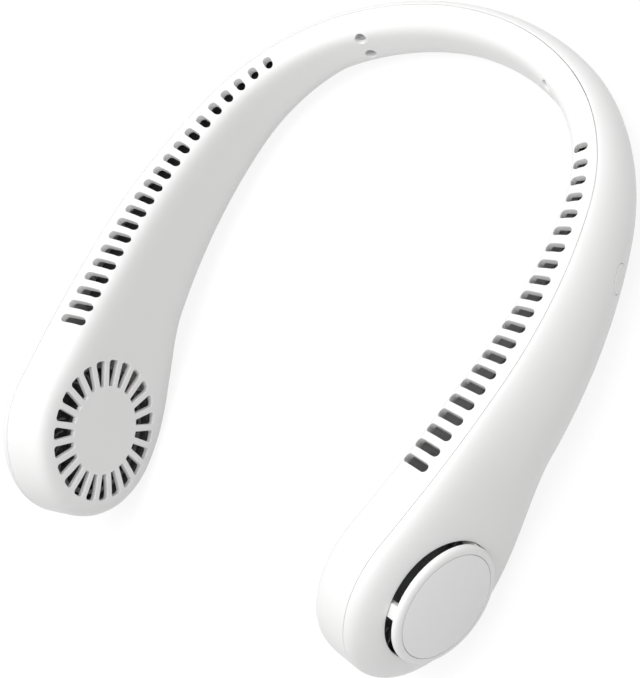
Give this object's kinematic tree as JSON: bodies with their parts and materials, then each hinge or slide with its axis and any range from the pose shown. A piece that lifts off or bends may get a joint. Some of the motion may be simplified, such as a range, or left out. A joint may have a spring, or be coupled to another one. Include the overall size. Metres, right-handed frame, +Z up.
{
  "type": "electric neck fan",
  "caption": "Wearable fan: a rigid white collar open at the front, with a blower in each lobe, slots that blow along both arms and a push button.",
  "frame": {"origin": "middle of the object's box, on the surface it lies on", "axes": "+X toward the arm with the button (the wearer's left when worn), +Y toward the back of the neck, +Z up, as it lies on a table on both lobes and the middle of the back"},
  "size_m": [0.2076, 0.2286, 0.0661],
  "materials": {
    "shell_white": "satin, fine moulded grain",
    "plate_grey": "satin",
    "blower_grey": "satin",
    "duct_grey": "matt",
    "rotor_steel": "pressed, plated",
    "ferrite": "matt, ground",
    "shaft_steel": "polished",
    "base_metal": "stamped",
    "stator_steel": "stacked sheets",
    "copper": "enamelled wire",
    "board_green": "solder mask",
    "cell_wrap": "shrink wrap",
    "socket_metal": "plated",
    "black_plastic": "moulded",
    "white_plastic": "moulded",
    "lamp_lens": "clear",
    "screw_steel": "zinc plated",
    "wire_red": "insulation"
  },
  "bodies": {
    "housing": {"inner_shell": "shell_white", "outer_shell": "shell_white", "left_intake_cap": "shell_white", "right_intake_cap": "shell_white", "left_cap_plate": "plate_grey", "right_cap_plate": "plate_grey", "left_motor_base": "base_metal", "right_motor_base": "base_metal", "left_motor_board": "board_green", "right_motor_board": "board_green", "left_stator": "stator_steel", "right_stator": "stator_steel", "left_coils": "copper", "right_coils": "copper", "left_bearings": "shaft_steel", "right_bearings": "shaft_steel", "left_scroll": "blower_grey", "right_scroll": "blower_grey", "left_duct_wall": "duct_grey", "right_duct_wall": "duct_grey", "left_cell": "cell_wrap", "right_cell": "cell_wrap", "main_board": "board_green", "charging_socket": "socket_metal", "push_switch": "black_plastic", "status_lamp": "lamp_lens", "control_chip": "black_plastic", "shell_screws": "screw_steel", "motor_screws": "screw_steel", "left_motor_wires": "wire_red", "right_motor_wires": "wire_red", "neck_wires": "wire_red"},
    "right_rotor": {"right_impeller": "blower_grey", "right_rotor_cup": "rotor_steel", "right_magnet": "ferrite", "right_shaft": "shaft_steel"},
    "left_rotor": {"left_impeller": "blower_grey", "left_rotor_cup": "rotor_steel", "left_magnet": "ferrite", "left_shaft": "shaft_steel"},
    "button": {"power_button": "shell_white", "switch_plunger": "white_plastic"}
  },
  "joints": [
    {"name": "right_fan_spin", "type": "hinge", "parent": "housing", "child": "right_rotor", "pos_m": [0.08543, -0.08197, 0.03333], "axis": [0.9834, -0.1814, 0.007], "continuous": true},
    {"name": "left_fan_spin", "type": "hinge", "parent": "housing", "child": "left_rotor", "pos_m": [-0.08543, -0.08197, 0.03333], "axis": [-0.9834, -0.1814, 0.007], "continuous": true},
    {"name": "power_button_press", "type": "slide", "parent": "housing", "child": "button", "axis": [-0.9812, -0.1876, 0.046], "range_m": [0, 0.0004], "stiffness_N_per_m": 800, "springref_m": -0.0005}
  ]
}
